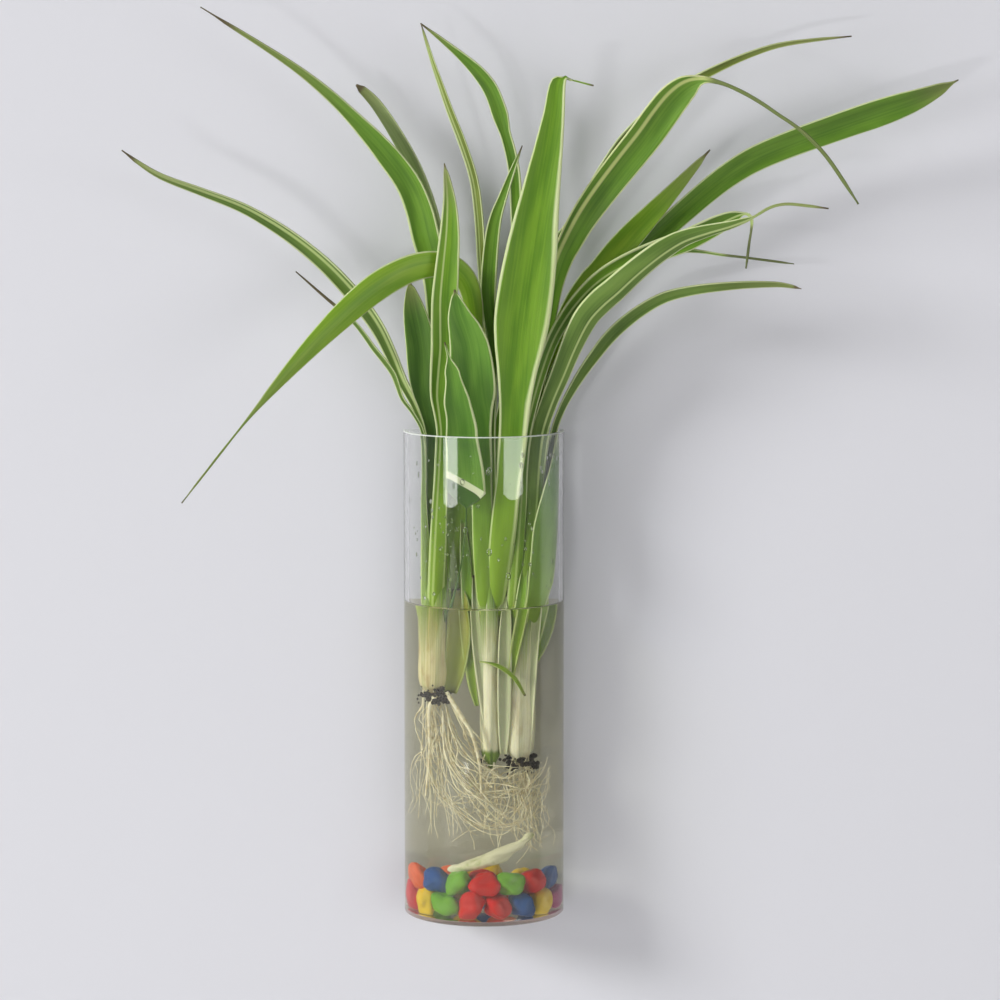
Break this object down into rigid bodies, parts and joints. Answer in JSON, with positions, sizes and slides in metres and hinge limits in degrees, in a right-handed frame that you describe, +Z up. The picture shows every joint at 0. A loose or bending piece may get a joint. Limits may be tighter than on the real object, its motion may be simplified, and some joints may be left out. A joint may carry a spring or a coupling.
{
  "type": "wall-mounted vase",
  "caption": "Clear half-round wall vase that hangs by a keyhole on an adhesive stud, holding dyed pebbles and a rooted, long-leaved houseplant.",
  "frame": {"origin": "centre of the adhesive pad's back face, on the wall and on the axis of the stud", "axes": "+Y into the wall, +Z up, +X to the right of someone who faces the vase, whose round front looks along -Y"},
  "size_m": [0.3531, 0.0801, 0.3936],
  "materials": {
    "vase_clear": "clear and polished, faintly green on its cut edges",
    "plate_clear": "clear moulded plastic",
    "pad_foam": "clear gel adhesive",
    "stud_steel": "turned stainless steel",
    "bumper_soft": "clear silicone",
    "leaf_green": "waxy leaf, green with cream margins",
    "stem_white": "fleshy, white turning pale green upwards",
    "root_cream": "fibrous, cream",
    "sheath_pale": "papery, pale cream green",
    "pebble_red": "dyed pebble, matt",
    "pebble_orange": "dyed pebble, matt",
    "pebble_yellow": "dyed pebble, matt",
    "pebble_green": "dyed pebble, matt",
    "pebble_blue": "dyed pebble, matt",
    "pebble_purple": "dyed pebble, matt"
  },
  "bodies": {
    "wall_mount": {"adhesive_pad": "pad_foam", "wall_plate": "plate_clear", "stud": "stud_steel"},
    "vessel": {"front_shell": "vase_clear", "back_plate": "vase_clear", "base_plate": "vase_clear", "bumper_left": "bumper_soft", "bumper_right": "bumper_soft", "pebbles_red": "pebble_red", "pebbles_orange": "pebble_orange", "pebbles_yellow": "pebble_yellow", "pebbles_green": "pebble_green", "pebbles_blue": "pebble_blue", "pebbles_purple": "pebble_purple", "loose_sheath": "sheath_pale"},
    "plant": {"stem_left": "stem_white", "stem_middle": "stem_white", "stem_right": "stem_white", "roots_left": "root_cream", "roots_middle": "root_cream", "roots_right": "root_cream", "leaf_01": "leaf_green", "leaf_02": "leaf_green", "leaf_03": "leaf_green", "leaf_04": "leaf_green", "leaf_05": "leaf_green", "leaf_06": "leaf_green", "leaf_07": "leaf_green", "leaf_08": "leaf_green", "leaf_09": "leaf_green", "leaf_10": "leaf_green", "leaf_11": "leaf_green", "leaf_12": "leaf_green", "leaf_13": "leaf_green", "leaf_14": "leaf_green", "leaf_15": "leaf_green", "leaf_16": "leaf_green", "leaf_17": "leaf_green", "leaf_18": "leaf_green", "leaf_19": "leaf_green", "leaf_20": "leaf_green", "leaf_21": "leaf_green"}
  },
  "joints": [
    {"name": "vessel_lift", "type": "slide", "parent": "wall_mount", "child": "vessel", "axis": [0, 0, 1], "range_m": [0, 0.009]},
    {"name": "plant_lift", "type": "slide", "parent": "vessel", "child": "plant", "axis": [0, 0, 1], "range_m": [0, 0.19]}
  ]
}
